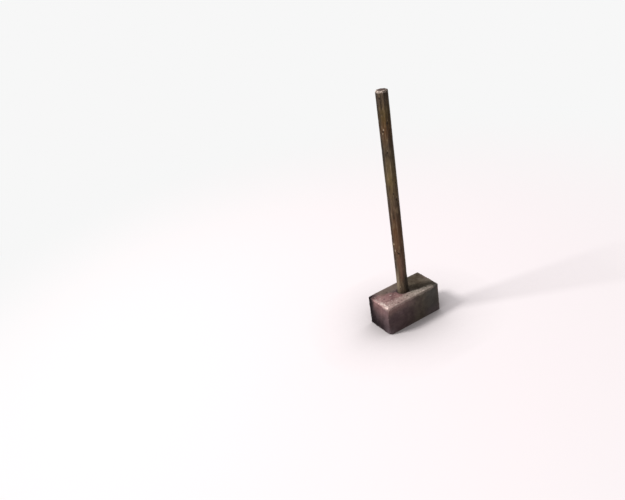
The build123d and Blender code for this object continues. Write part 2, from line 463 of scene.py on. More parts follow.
    # painted light: paler at the foot of the near upright arris and along the foot of the cheeks towards the far end
    foot = np.maximum(bell(np.hypot(x + HX, y + HY), 20.0), 0.7 * (ay < ax) * smooth(24, 60, x + 4 * mid))
    foot = foot * smooth(34, 6, z + 3 * mid) * (z > 1.5) * (1 - edge_shade_mask)
    haze = on_top * smooth(12, 26, y + 4 * mid) * smooth(-82, -58, x + 8 * slow) * smooth(14, 0, x + 4 * mid)
    haze = np.maximum(haze, 0.5 * on_top * smooth(44, 66, x + 8 * slow - 0.15 * y) * smooth(-30, -8, y + 4 * mid))
    names = dict(under=under, haze=haze, shine=shine, foot=foot, edge_shade=edge_shade_mask, rub=rub, lip=lip, fan_dark=fan_dark, sheen=sheen, bloom=bloom, pale=pale, lower_shade=lower_shade, broad=broad, wear=bright, strike=struck, cavity=cavity, eye_shade=eye_shade)
    attributes = {k: np.clip(a, 0, 1) for k, a in names.items()}
    # the loops run so that normals point out; checked by the sign of the volume
    a, b, c, dd = (v[quads[:, k]] for k in range(4))
    volume = np.sum(np.einsum("ij,ij->i", a, np.cross(b, c)) + np.einsum("ij,ij->i", a, np.cross(c, dd))) / 6
    faces = (quads[:, ::-1] if volume < 0 else quads).tolist()
    return quads_mesh("sledge_head", v * MM, faces, attributes)


head = head_mesh()

# ======================================================================= haft
TOP = 710.0
AROUND = 144
THETA = np.arange(AROUND) / AROUND * 2 * np.pi
STATIONS = np.array([
    # z, half x, half y, cut
    (1.0, 17.93, 16.18, 9.58),
    (44.0, 15.75, 14.0, 8.6),
    (94.0, 17.0, 15.5, 9.2),
    (112.0, 16.5, 15.25, 9.3),
    (150.0, 15.95, 15.0, 9.1),
    (330.0, 16.05, 15.2, 9.2),
    (540.0, 16.15, 15.35, 9.3),
    (705.0, 16.3, 15.5, 9.4),
])
JOIN = 62.0          # below this the tenon is a piece of its own until the wedges' slots are cut


def section(z, grow=0.0):
    hx, hy, cut = (np.interp(z, STATIONS[:, 0], STATIONS[:, k]) for k in (1, 2, 3))
    free = float(smooth(92, 128, np.array([z]))[0])
    line = np.array([[z / 38.0, i * 7.7 + 3.1, 0.5] for i in range(8)])
    slow = np.array([[z / 120.0, i * 5.3 + 1.7, 9.5] for i in range(8)])
    wob = (0.16 * perlin(line, 61) + 0.22 * perlin(slow, 62) + 0.02) * free
    # arrises: soft in the eye, crisp at the middle, rubbed round in the two grips
    grip = math.exp(-(((z - 560) / 90.0) ** 2)) + 0.7 * math.exp(-(((z - 250) / 80.0) ** 2))
    power = 20 + free * (46 - 22 * min(1.0, grip))
    r = octagon_radius(
        THETA, hx + grow, hy + grow, cut + 0.59 * grow, power, np.repeat(wob[None, :], AROUND, 0)
    )
    return np.stack([r * np.cos(THETA), r * np.sin(THETA), np.full(AROUND, z)], 1)


def bell_at(a, middle, width):
    return np.exp(-(((a - middle) / width) ** 2))


def haft_mesh():
    n = AROUND
    zs = np.concatenate([
        np.linspace(JOIN, 88.0, 7),
        np.linspace(90.0, 150.0, 50),
        np.linspace(151.3, 690.0, 398),
        np.linspace(691.0, 705.0, 15),
    ])
    rings = [section(z) for z in zs]
    # butt: rounded over, then a nearly flat end
    body = len(rings)
    for a in np.linspace(0.12, 1.0, 9) * math.pi / 2:
        ring = section(705.0, -3.0 * (1 - math.cos(a)))
        ring[:, 2] = 705.2 + 4.0 * math.sin(a)
        rings.append(ring)
    rim_ring = rings[-1]
    n_cap = 20
    for k in range(1, n_cap):
        s = 1 - k / n_cap
        ring = rim_ring * (s, s, 1.0)
        ring[:, 2] = 709.2 + 1.0 * (1 - s * s)
        rings.append(ring)
    v = np.concatenate(rings)
    quads = ring_quads(len(rings), n)
    total_rings = len(rings)
    row = np.repeat(np.arange(total_rings), n)
    theta = np.tile(THETA, total_rings)
    normal = vertex_normals(v, quads)

    free = smooth(96, 122, v[:, 2])
    cap = row >= body + 8
    butt = smooth(700, 708, v[:, 2])
    depth = np.zeros(len(v))
    # fibres: long narrow ridges that follow the shaft
    around_p = np.stack([np.cos(theta) * 15, np.sin(theta) * 15, v[:, 2]], 1)
    fibre = fbm(around_p * (0.55, 0.55, 0.012), 3, seed=71)
    fine = fbm(around_p * (1.3, 1.3, 0.035), 2, seed=72)
    depth += (0.08 * fibre + 0.05 * fine + 0.05) * free
    # raised grain: sparse grooves
    groove = smooth(0.30, 0.62, fbm(around_p * (0.42, 0.42, 0.008), 3, seed=75))
    depth += 0.2 * groove * free
    # dents and bruises, more on the arrises and near the head where blows miss
    local = np.random.default_rng(23)
    bruise = np.zeros(len(v))
    for _ in range(150):
        z = 100 + 600 * local.uniform() ** (1.0 if local.uniform() < 0.6 else 2.4)
        a = local.integers(0, 8) * math.pi / 4 + math.pi / 8 + local.normal(0, 0.18)
        r = local.uniform(0.9, 3.2)
        stretch = local.uniform(1.0, 3.2)
        c = np.array([16.5 * math.cos(a), 15.9 * math.sin(a), z])
        dist = np.linalg.norm((v - c) / (1, 1, stretch), axis=1)
        near_it = dist < 2.2 * r
        bruise[near_it] = np.maximum(
            bruise[near_it], np.exp(-1.6 * (dist[near_it] / r) ** 2) * min(0.65, r * 0.24)
        )
    depth += bruise * free
    # drying checks: (angle, low z, high z, half width, depth)
    crack = np.zeros(len(v))
    checks = [
        (-2.46, 652, 712, 0.75, 0.9), (-1.84, 668, 712, 0.75, 0.9), (-2.05, 575, 600, 0.45, 0.3),
        (0.35, 96, 190, 0.85, 1.2), (-2.55, 285, 306, 0.45, 0.35), (-1.15, 300, 372, 0.6, 0.6),
        (1.35, 610, 712, 0.8, 1.3), (2.4, 470, 560, 0.8, 1.0), (0.95, 330, 440, 0.8, 1.0),
        (2.9, 655, 712, 0.75, 1.1), (1.9, 120, 200, 0.8, 0.9), (-0.4, 520, 600, 0.75, 0.9),
        (-0.55, 640, 712, 0.75, 1.1), (0.2, 250, 330, 0.7, 0.8),
    ]
    for angle, low, high, width, deep in checks:
        line = np.stack([v[:, 2] / 23.0, np.full(len(v), angle * 3.0), np.zeros(len(v))], 1)
        here = angle + 0.07 * perlin(line, 81)
        off = np.angle(np.exp(1j * (theta - here))) * 15.5
        along = smooth(low, low + 18, v[:, 2]) * (1 - smooth(high - 16, high, v[:, 2]) * (high < 705))
        g = np.exp(-((off / width) ** 2)) * along
        crack = np.maximum(crack, g * np.where(cap, 0.0, 1.0) * deep)
    # short cracks that run across the grain, ends as (angle from the camera side's
    # middle facet, height)
    facing = np.angle(np.exp(1j * (theta + 2.199)))
    flat = np.stack([facing * 15.8, v[:, 2]], 1)
    for (a0, z0), (a1, z1), width, deep in (
        ((0.0, 231), (-0.58, 240), 0.8, 0.7), ((0.42, 403), (0.24, 414), 0.7, 0.5), ((0.12, 550), (-0.10, 543), 0.7, 0.4),
        ((-0.42, 601), (-0.30, 592), 0.7, 0.5), ((2.2, 350), (2.5, 362), 0.8, 0.7), ((-2.4, 520), (-2.1, 531), 0.8, 0.6),
    ):
        p0, p1 = np.array([a0 * 15.8, z0]), np.array([a1 * 15.8, z1])
        run = p1 - p0
        part = np.clip(((flat - p0) @ run) / (run @ run), 0, 1)
        dist = np.linalg.norm(flat - p0 - part[:, None] * run + 0.5 * perlin(v / 2.5, 87)[:, None], axis=1)
        crack = np.maximum(crack, np.exp(-((dist / width) ** 2)) * deep * np.where(cap, 0.0, 1.0))
    # the same checks run in across the butt
    radius_now = np.hypot(v[:, 0], v[:, 1])
    for angle, low, high, width, deep in checks:
        if high < 700 or angle in (-1.84, 1.35):
            continue
        d = np.array([math.cos(angle), math.sin(angle)])
        off = v[:, 0] * -d[1] + v[:, 1] * d[0] + 0.5 * perlin(v / 3.5, 83)
        toward = v[:, 0] * d[0] + v[:, 1] * d[1]
        g = np.exp(-((off / 0.6) ** 2)) * smooth(4.5, 12.0, toward) * (v[:, 2] > 704)
        crack = np.maximum(crack, g * deep)
    depth += crack * np.maximum(free, butt)
    # knots: small swirls, sunk in the middle and slightly proud round it
    knot = np.zeros(len(v))
    glint = np.zeros(len(v))
    knots = [(-2.67, 691.0, 2.3), (-1.82, 624.0, 2.3), (-2.62, 602.0, 2.0), (-1.99, 422.0, 2.3), (-1.56, 403.0, 2.6),
             (-2.20, 231.0, 2.4), (-2.30, 543.0, 1.7), (-1.45, 454.0, 1.8), (0.8, 480.0, 3.2), (2.6, 300.0, 2.8),
             (1.2, 640.0, 2.5), (0.1, 168.0, 2.6)]
    for a, z, r in knots:
        c = np.array([16.0 * math.cos(a), 15.2 * math.sin(a), z])
        dist = np.linalg.norm((v - c) / (1, 1, 1.4), axis=1)
        g = np.exp(-((dist / r) ** 2) * 1.3)
        knot = np.maximum(knot, g)
        depth += 0.5 * g - 0.2 * np.exp(-(((dist - 1.9 * r) / (0.7 * r)) ** 2))
    # pale splintered flecks
    flecks = [(-1.70, 631.0, 1.3, 0.6), (-2.52, 607.0, 1.5, 0.9), (-2.72, 597.0, 1.6, 0.9), (-1.50, 411.0, 1.3, 0.6),
              (-2.83, 241.0, 1.9, 1.0), (-3.02, 262.0, 1.9, 1.0), (-2.25, 549.0, 1.2, 0.5), (-2.98, 207.0, 1.4, 0.6),
              (-2.86, 150.0, 1.3, 0.6), (-2.60, 116.0, 1.5, 0.8), (-2.0, 355.0, 1.0, 0.3), (0.6, 430.0, 1.6, 0.7),
              (1.7, 560.0, 1.6, 0.7), (2.3, 210.0, 1.8, 0.7), (-0.6, 610.0, 1.6, 0.6), (2.9, 410.0, 1.5, 0.6)]
    for a, z, r, much in flecks:
        c = np.array([16.0 * math.cos(a), 15.2 * math.sin(a), z])
        dist = np.linalg.norm((v - c) / (1, 1, 2.2), axis=1) * (1 + 0.35 * perlin(v / 1.7, 88))
        glint = np.maximum(glint, much * np.exp(-((dist / r) ** 2)))
    depth += 0.25 * glint
    # the butt is bruised and its rim chipped
    chips = np.zeros(len(v))
    for _ in range(26):
        a = local.uniform(0, 2 * np.pi)
        c = np.array([15.0 * math.cos(a), 14.3 * math.sin(a), 707.5])
        r = local.uniform(1.4, 3.4)
        dist = np.linalg.norm(v - c, axis=1)
        chips = np.maximum(chips, np.exp(-1.5 * (dist / r) ** 2) * r * 0.28)
    depth += chips
    rings_grain = np.sin(np.hypot(v[:, 0] - 34, v[:, 1] + 22) * 2.2 + 1.2 * fbm(v / 9.0, 2, seed=85))
    depth += butt * (0.12 * (0.5 + 0.5 * rings_grain) + 0.14 * (0.5 + 0.5 * fbm(v / 1.6, 2, seed=86)))
    depth = np.where(v[:, 2] < 92, 0.0, depth)
    v = v - normal * depth[:, None]
    v[:, 2] = np.clip(v[:, 2], 1.0, TOP)

    # centre point of the butt
    base = len(v)
    v = np.concatenate([v, [[0, 0, TOP]]])
    last = (total_rings - 1) * n
    k = np.arange(n)
    faces = quads.tolist()
    faces += [[last + i, last + (i + 1) % n, base] for i in k]

    # painted shade round the girth: facets to the left and right of the camera-facing one are darkened, the left ones
    # above about 150 mm, the middle-left and middle-right ones low beside the head and the middle-right again above
    # about 560 mm; darker bands on the left at 205, 540 and 638 mm; and a random patchy tone over all
    patchy = fbm(around_p * (0.06, 0.06, 0.022), 4, seed=91)
    shade_and_tone = np.ones(len(theta))
    height = v[:-1, 2]
    hold = 0.10 + 0.90 * smooth(125, 185, height)
    shade_and_tone -= 0.64 * smooth(-0.44, -0.80, facing) * smooth(-2.6, -1.6, facing) * hold
    shade_and_tone -= 0.34 * smooth(0.42, 0.86, facing) * smooth(2.4, 1.2, facing)
    shade_and_tone -= 0.28 * smooth(0.10, 0.40, facing) * smooth(170, 130, height)
    shade_and_tone -= 0.15 * smooth(-0.40, -0.15, facing) * smooth(190, 140, height)
    shade_and_tone -= 0.16 * smooth(0.15, 0.50, facing) * smooth(540, 585, height)
    left_bands = bell_at(height, 540, 34) + bell_at(height, 638, 22) + 0.6 * bell_at(height, 205, 26)
    shade_and_tone -= 0.24 * smooth(-0.40, -0.55, facing) * smooth(-1.9, -1.3, facing) * left_bands
    rosy = smooth(-0.30, 0.0, facing) * smooth(0.75, 0.45, facing) * smooth(132, 150, height) * smooth(236, 190, height)
    # painted highlight: a lit strip on the left facets beside the head
    lit_strip = smooth(-0.38, -0.56, facing + 0.06 * patchy) * smooth(-1.7, -1.3, facing) * smooth(215, 160, height + 20 * patchy) * (0.75 + 0.5 * smooth(190, 130, height))
    shade_and_tone *= 1 + 0.30 * patchy
    shade_and_tone = np.clip(shade_and_tone, 0.25, 1.2)
    flat_angle = np.abs(((theta + math.pi / 8) % (math.pi / 4)) - math.pi / 8)
    # arrises: rubbed paler, with a painted highlight along them
    arris = smooth(0.22, 0.385, flat_angle)
    more = lambda x, last_one=0.0: np.concatenate([x, [last_one]])
    rim_mask = smooth(702.5, 707.5, v[:-1, 2]) * smooth(9.5, 12.8, radius_now)
    # the left-front part of the rim is rubbed bare
    left = smooth(-0.2, 0.5, np.cos(theta + 2.65))
    rim_mask = rim_mask * (0.25 + 0.75 * left)
    attributes = {
        "arris": more(arris * free * (1 - butt)),
        "crack": more(np.clip(crack * 1.3, 0, 1)),
        "knot": more(knot),
        "glint": more(glint),
        "bruise": more(np.clip(bruise * 2.2, 0, 1)),
        "groove": more(groove * free),
        "butt": more(np.where(cap, 1.0, 0.0), 1.0),
        "rim": more(np.clip(rim_mask + 0.5 * chips, 0, 1)),
        "shade_and_tone": more(shade_and_tone, 1.0),
        "rosy": more(rosy),
        "lit_strip": more(lit_strip),
    }
    return quads_mesh("haft", v * MM, faces, attributes)


haft = haft_mesh()


def tenon_mesh():
    """The haft inside the head, slotted for the wedges, with end grain below."""
    n = AROUND
    zs = np.concatenate([np.linspace(JOIN, 4.0, 16), [1.0]])
    v = np.concatenate([section(z) for z in zs] + [[[0, 0, JOIN]]])
    rows = len(zs)
    quads = ring_quads(rows, n)[:, ::-1]
    low = (rows - 1) * n
    faces = quads.tolist() + [[(i + 1) % n, i, rows * n][::-1] for i in range(n)]
    faces.append([low + i for i in range(n)][::-1])
    zero = np.zeros(len(v))
    names = ("arris", "crack", "knot", "glint", "bruise", "groove", "butt", "rim", "shade_and_tone", "rosy", "lit_strip")
    o = quads_mesh("tenon", v * MM, faces, {k: zero for k in names if k != "shade_and_tone"} | {"shade_and_tone": zero + 1})
    bm = bmesh.new()
    bm.from_mesh(o.data)
    bmesh.ops.recalc_face_normals(bm, faces=bm.faces)
    bm.to_mesh(o.data)
    bm.free()
    return o


def cutter():
    """The three wedges as one closed mesh."""
    bm = bmesh.new()
    for node in ("wood_wedge", "steel_wedge_left", "steel_wedge_right"):
        bm.from_mesh(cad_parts[node].data)
    bmesh.ops.remove_doubles(bm, verts=bm.verts, dist=1e-6)
    mesh = bpy.data.meshes.new("cutter")
    bm.to_mesh(mesh)
    bm.free()
    o = bpy.data.objects.new("cutter", mesh)
    bpy.context.scene.collection.objects.link(o)
    return o


tenon = tenon_mesh()
cut_obj = cutter()
mod = tenon.modifiers.new("slots", "BOOLEAN")
mod.operation = "DIFFERENCE"
mod.solver = "EXACT"
mod.use_self = True
mod.object = cut_obj
bpy.context.view_layer.update()
made = bpy.data.meshes.new_from_object(tenon.evaluated_get(bpy.context.evaluated_depsgraph_get()))
bm = bmesh.new()
bm.from_mesh(haft.data)
layers = {k: bm.verts.layers.float[k] for k in ("arris", "crack", "knot", "glint", "bruise", "groove", "butt", "rim", "shade_and_tone", "rosy", "lit_strip")}
old = len(bm.verts)
bm.from_mesh(made)
bm.verts.ensure_lookup_table()
for vert in bm.verts[old:]:
    for k, layer in layers.items():
        vert[layer] = 1.0 if k == "shade_and_tone" or (k == "butt" and vert.co.z < 0.00101) else 0.0
lid = [f for f in bm.faces if all(abs(w.co.z - JOIN * MM) < 1e-7 for w in f.verts)]
bmesh.ops.delete(bm, geom=lid, context="FACES")
bmesh.ops.remove_doubles(bm, verts=[w for w in bm.verts if abs(w.co.z - JOIN * MM) < 1e-7], dist=1e-5)
for f in bm.faces:
    f.smooth = f.calc_center_median().z > 0.0012
bm.to_mesh(haft.data)
bm.free()
for o in (tenon, cut_obj):
    bpy.data.objects.remove(o)
bpy.data.meshes.remove(made)


# ------------------------------------------------------------------ materials
def nodes_of(name):
    mat = bpy.data.materials.new(name)
    mat.use_nodes = True
    nt = mat.node_tree
    nt.nodes.clear()
    out = nt.nodes.new("ShaderNodeOutputMaterial")
    bsdf = nt.nodes.new("ShaderNodeBsdfPrincipled")
    nt.links.new(bsdf.outputs[0], out.inputs[0])
    return mat, nt, bsdf


class Tree:
    """Short names for the shader nodes used below."""

    def __init__(self, nt):
        self.nt = nt
        self.coord = nt.nodes.new("ShaderNodeTexCoord").outputs["Object"]

    def put(self, socket, value):
        if hasattr(value, "is_linked") or hasattr(value, "node"):
            self.nt.links.new(value, socket)
        elif value is not None:
            socket.default_value = value

    def attr(self, name):
        n = self.nt.nodes.new("ShaderNodeAttribute")
        n.attribute_name = name
        return n.outputs["Fac"]

    def math(self, op, a, b=None, c=None, clamp=False):
        n = self.nt.nodes.new("ShaderNodeMath")
        n.operation = op
        n.use_clamp = clamp
        self.put(n.inputs[0], a)
        self.put(n.inputs[1], b)
        self.put(n.inputs[2], c)
        return n.outputs[0]

    def scale(self, xyz, vector=None):
        n = self.nt.nodes.new("ShaderNodeVectorMath")
        n.operation = "MULTIPLY"
        self.put(n.inputs[0], vector or self.coord)
        n.inputs[1].default_value = xyz
        return n.outputs[0]

    def noise(self, vector, scale=1.0, detail=4.0, rough=0.55, distortion=0.0):
        n = self.nt.nodes.new("ShaderNodeTexNoise")
        self.put(n.inputs["Vector"], vector)
        n.inputs["Scale"].default_value = scale
        n.inputs["Detail"].default_value = detail
        n.inputs["Roughness"].default_value = rough
        n.inputs["Distortion"].default_value = distortion
        return n.outputs["Fac"]

    def noise_vector(self, vector, scale, amount):
        """Coordinates pushed about by a noise, for ragged outlines."""
        n = self.nt.nodes.new("ShaderNodeTexNoise")
        self.nt.links.new(vector, n.inputs["Vector"])
        n.inputs["Scale"].default_value = scale
        n.inputs["Detail"].default_value = 4.0
        away = self.nt.nodes.new("ShaderNodeVectorMath")
        away.operation = "MULTIPLY_ADD"
        self.nt.links.new(n.outputs["Color"], away.inputs[0])
        away.inputs[1].default_value = (amount,) * 3
        self.nt.links.new(vector, away.inputs[2])
        return away.outputs[0]

    def voronoi(self, vector, scale=1.0, feature="F1"):
        n = self.nt.nodes.new("ShaderNodeTexVoronoi")
        n.feature = feature
        self.put(n.inputs["Vector"], vector)
        n.inputs["Scale"].default_value = scale
        return n.outputs["Distance"]

    def ramp(self, value, low, high, a=0.0, b=1.0):
        n = self.nt.nodes.new("ShaderNodeMapRange")
        n.interpolation_type = "SMOOTHSTEP"
        self.put(n.inputs["Value"], value)
        n.inputs["From Min"].default_value = low
        n.inputs["From Max"].default_value = high
        n.inputs["To Min"].default_value = a
        n.inputs["To Max"].default_value = b
        return n.outputs[0]

    def colours(self, value, stops):
        n = self.nt.nodes.new("ShaderNodeValToRGB")
        el = n.color_ramp.elements
        while len(el) > 1:
            el.remove(el[-1])
        el[0].position, el[0].color = stops[0][0], (*stops[0][1], 1)
        for pos, col in stops[1:]:
            e = el.new(pos)
            e.color = (*col, 1)
        self.put(n.inputs[0], value)
        return n.outputs[0]

    def mix(self, fac, a, b, blend="MIX"):
        n = self.nt.nodes.new("ShaderNodeMix")
        n.data_type = "RGBA"
        n.blend_type = blend
        self.put(n.inputs[0], fac)
        self.put(n.inputs[6], (*a, 1) if isinstance(a, tuple) else a)
        self.put(n.inputs[7], (*b, 1) if isinstance(b, tuple) else b)
        return n.outputs[2]

    def split(self, vector):
        n = self.nt.nodes.new("ShaderNodeSeparateXYZ")
        self.put(n.inputs[0], vector)
        return n.outputs

    def bump(self, height, strength=0.4, distance=0.0005, normal=None):
        n = self.nt.nodes.new("ShaderNodeBump")
        n.inputs["Strength"].default_value = strength
        n.inputs["Distance"].default_value = distance
        self.put(n.inputs["Height"], height)
        self.put(n.inputs["Normal"], normal)
        return n.outputs[0]


def lin(r, g, b):
    """sRGB 0-255 to linear."""
    f = lambda c: ((c / 255 + 0.055) / 1.055) ** 2.4 if c > 10.3 else c / 255 / 12.92
    return (f(r), f(g), f(b))


def steel_material():
    mat, nt, bsdf = nodes_of("forged_steel")
    t = Tree(nt)
    x, y, z = t.split(t.coord)
    bloom, pale, lower_shade, broad, wear, strike, cavity, eye_shade, fan_dark, sheen, rub, lip, edge_shade, foot, shine, haze, under = (
        t.attr(k)
        for k in ("bloom", "pale", "lower_shade", "broad", "wear", "strike", "cavity", "eye_shade", "fan_dark", "sheen", "rub", "lip", "edge_shade", "foot", "shine", "haze", "under")
    )
    big = t.noise(t.coord, 15.0, 4.0, 0.6)
    mid = t.noise(t.coord, 58.0, 7.0, 0.62)
    fine = t.noise(t.coord, 380.0, 5.0, 0.62)
    speck = t.noise(t.coord, 820.0, 3.0, 0.6)
    blend = t.math("ADD", t.math("MULTIPLY", big, 0.45), t.math("MULTIPLY", mid, 0.55))
    # forge scale: gunmetal, greener grey at the far end, purplish at the near one
    far_col = t.colours(blend, [(0.34, lin(73, 67, 58)), (0.48, lin(91, 84, 74)), (0.60, lin(107, 99, 87))])
    near_col = t.colours(blend, [(0.34, lin(80, 64, 67)), (0.48, lin(98, 80, 83)), (0.60, lin(114, 95, 97))])
    side = t.ramp(t.math("ADD", x, t.math("MULTIPLY", t.math("SUBTRACT", big, 0.5), 0.14)), -0.06, 0.045)
    col = t.mix(side, near_col, far_col)
    # thin plates of forge scale, some flaked to a slightly different grey
    warped = t.noise_vector(t.coord, 45.0, 0.012)
    plate = t.ramp(t.noise(warped, 62.0, 1.0, 0.4), 0.46, 0.54)
    plate_edge = t.math("SUBTRACT", 1.0, t.ramp(t.voronoi(warped, 85.0, "DISTANCE_TO_EDGE"), 0.0, 0.06))
    col = t.mix(t.math("MULTIPLY", plate, 0.16), col, lin(122, 110, 104))
    col = t.mix(t.math("MULTIPLY", plate_edge, 0.22), col, lin(52, 44, 42))
    # the cheeks are cooler towards the far end
    wall = t.math("MULTIPLY", t.ramp(t.math("ABSOLUTE", y), 0.040, 0.046), t.ramp(x, 0.020, 0.070))
    col = t.mix(t.math("MULTIPLY", wall, 0.62), col, lin(88, 89, 88))
    # rubbed pinkish brown, with painted highlights on the upper cheeks and where the top, the near end and the near
    # cheek meet
    bloom_col = t.colours(mid, [(0.34, lin(114, 84, 84)), (0.50, lin(134, 101, 101)), (0.64, lin(152, 118, 116))])
    brush = t.ramp(t.math("ADD", bloom, t.math("MULTIPLY", t.math("SUBTRACT", fine, 0.5), 0.5)), 0.06, 0.78)
    col = t.mix(t.math("MULTIPLY", lip, 0.82), col, lin(134, 114, 110))
    col = t.mix(t.math("MULTIPLY", brush, 0.92), col, bloom_col)
    col = t.mix(t.math("MULTIPLY", rub, t.ramp(mid, 0.36, 0.62, 0.40, 0.85)), col, lin(186, 152, 150))
    # pale band
    pale_col = t.mix(t.ramp(x, -0.05, 0.02), lin(168, 144, 140), lin(152, 143, 133))
    lick = t.ramp(t.math("ADD", pale, t.math("MULTIPLY", t.math("SUBTRACT", mid, 0.5), 0.9)), 0.15, 0.75)
    col = t.mix(t.math("MULTIPLY", lick, 0.88), col, pale_col)
    col = t.mix(t.math("MULTIPLY", haze, 0.5), col, lin(122, 110, 98))
    # a darker brown patch beside the haft; painted shade towards the bottom, low on the near end and along its far
    # upright arris; a painted sheen beside the near upright arris and painted light at the foot
    col = t.mix(t.math("MULTIPLY", fan_dark, t.ramp(mid, 0.30, 0.62, 0.75, 0.45)), col, lin(56, 42, 25))
    # painted shade: darker towards the bottom
    col = t.mix(t.math("MULTIPLY", lower_shade, t.ramp(mid, 0.30, 0.62, 0.97, 0.88)), col, lin(38, 26, 31))
    # painted highlight beside the near upright arris
    col = t.mix(t.math("MULTIPLY", sheen, t.ramp(mid, 0.30, 0.62, 0.40, 0.65)), col, lin(110, 92, 96))
    # painted shade: darker still in the last 30 mm above the floor
    col = t.mix(t.ramp(z, 0.030, 0.004, 0.0, 0.17), col, lin(22, 14, 17))
    # painted shade low on the near end
    col = t.mix(t.math("MULTIPLY", under, 0.5), col, lin(20, 11, 14))
    # painted shade along the near end's far upright arris
    col = t.mix(t.math("MULTIPLY", edge_shade, 0.90), col, lin(22, 13, 16))
    # painted light at the foot
    col = t.mix(t.math("MULTIPLY", foot, 0.66), col, lin(118, 104, 110))
    # crumbs of bare metal and of black scale, in clusters on the rubbed parts
    crumb = t.noise(t.coord, 260.0, 3.0, 0.6)
    cluster = t.ramp(t.noise(t.coord, 70.0, 2.0, 0.5), 0.40, 0.58)
    lit = t.math("MAXIMUM", t.math("MULTIPLY", pale, 0.9), t.math("MAXIMUM", rub, t.math("MULTIPLY", bloom, 0.30)))
    lit = t.math("MULTIPLY", t.math("MULTIPLY", lit, cluster), t.ramp(crumb, 0.580, 0.66))
    lit = t.math("MULTIPLY", lit, t.math("SUBTRACT", 1.0, lower_shade, clamp=True))
    col = t.mix(t.math("MULTIPLY", lit, 0.85), col, lin(222, 201, 194))
    black = t.math("MULTIPLY", t.math("MAXIMUM", pale, t.math("MULTIPLY", bloom, 0.45)), t.ramp(crumb, 0.41, 0.34))
    col = t.mix(t.math("MULTIPLY", black, 0.7), col, lin(62, 46, 42))
    fleck = t.ramp(t.noise(t.coord, 150.0, 6.0, 0.7), 0.60, 0.69)
    col = t.mix(t.math("MULTIPLY", fleck, 0.35), col, lin(104, 72, 60))
    dot = t.ramp(t.noise(t.coord, 170.0, 4.0, 0.6), 0.36, 0.28)
    col = t.mix(t.math("MULTIPLY", dot, 0.4), col, lin(56, 44, 44))
    col = t.mix(t.math("MULTIPLY", cavity, 0.68), col, lin(46, 33, 32))
    # edges softly rubbed, bright metal in places, and a painted highlight on the worn top edge of the near end
    col = t.mix(t.math("MULTIPLY", broad, 0.34), col, lin(150, 136, 130))
    broken = t.ramp(t.math("ADD", wear, t.math("MULTIPLY", t.math("SUBTRACT", fine, 0.5), 0.8)), 0.30, 0.85)
    worn_col = t.colours(fine, [(0.32, lin(148, 134, 128)), (0.56, lin(196, 180, 174)), (0.72, lin(222, 206, 200))])
    col = t.mix(t.math("MULTIPLY", broken, 0.92), col, worn_col)
    col = t.mix(t.math("MULTIPLY", shine, 0.95, clamp=True), col, lin(250, 228, 221))
    # bare metal on the worked edges
    struck = t.math("MULTIPLY", strike, t.ramp(t.math("ADD", mid, t.math("MULTIPLY", fine, 0.4)), 0.55, 0.85), clamp=True)
    col = t.mix(t.math("MULTIPLY", struck, 0.5), col, lin(150, 140, 135))
    # painted shade round the eye's mouth and in the eye
    col = t.mix(t.math("MULTIPLY", eye_shade, 0.6), col, lin(44, 36, 32))
    nt.links.new(col, bsdf.inputs["Base Color"])
    bsdf.inputs["Specular IOR Level"].default_value = 0.12
    metal = t.math("MAXIMUM", t.math("MULTIPLY", broken, 0.42), t.math("MULTIPLY", struck, 0.4))
    metal = t.math("MAXIMUM", metal, t.math("MULTIPLY", shine, 0.5, clamp=True))
    metal = t.math("MAXIMUM", metal, 0.26)
    nt.links.new(metal, bsdf.inputs["Metallic"])
    rough = t.math("ADD", 0.36, t.math("MULTIPLY", mid, 0.24))
    rough = t.math("ADD", rough, t.math("MULTIPLY", t.math("SUBTRACT", fine, 0.5), 0.16))
    rough = t.math("ADD", rough, t.math("MULTIPLY", plate, 0.14))
    rough = t.math("ADD", rough, t.math("MULTIPLY", lower_shade, 0.12))
    rough = t.math("SUBTRACT", rough, t.math("MULTIPLY", t.math("MAXIMUM", broken, shine), 0.18))
    rough = t.math("SUBTRACT", rough, t.math("MULTIPLY", struck, 0.10), clamp=True)
    nt.links.new(rough, bsdf.inputs["Roughness"])
    height = t.math("ADD", t.math("MULTIPLY", fine, 0.30), t.math("MULTIPLY", mid, 0.9))
    height = t.math("ADD", height, t.math("MULTIPLY", speck, 0.08))
    height = t.math("ADD", height, t.math("MULTIPLY", plate_edge, 0.22))
    height = t.math("SUBTRACT", height, t.math("MULTIPLY", dot, 0.5))
    nt.links.new(t.bump(height, 0.42, 0.0006), bsdf.inputs["Normal"])
    return mat


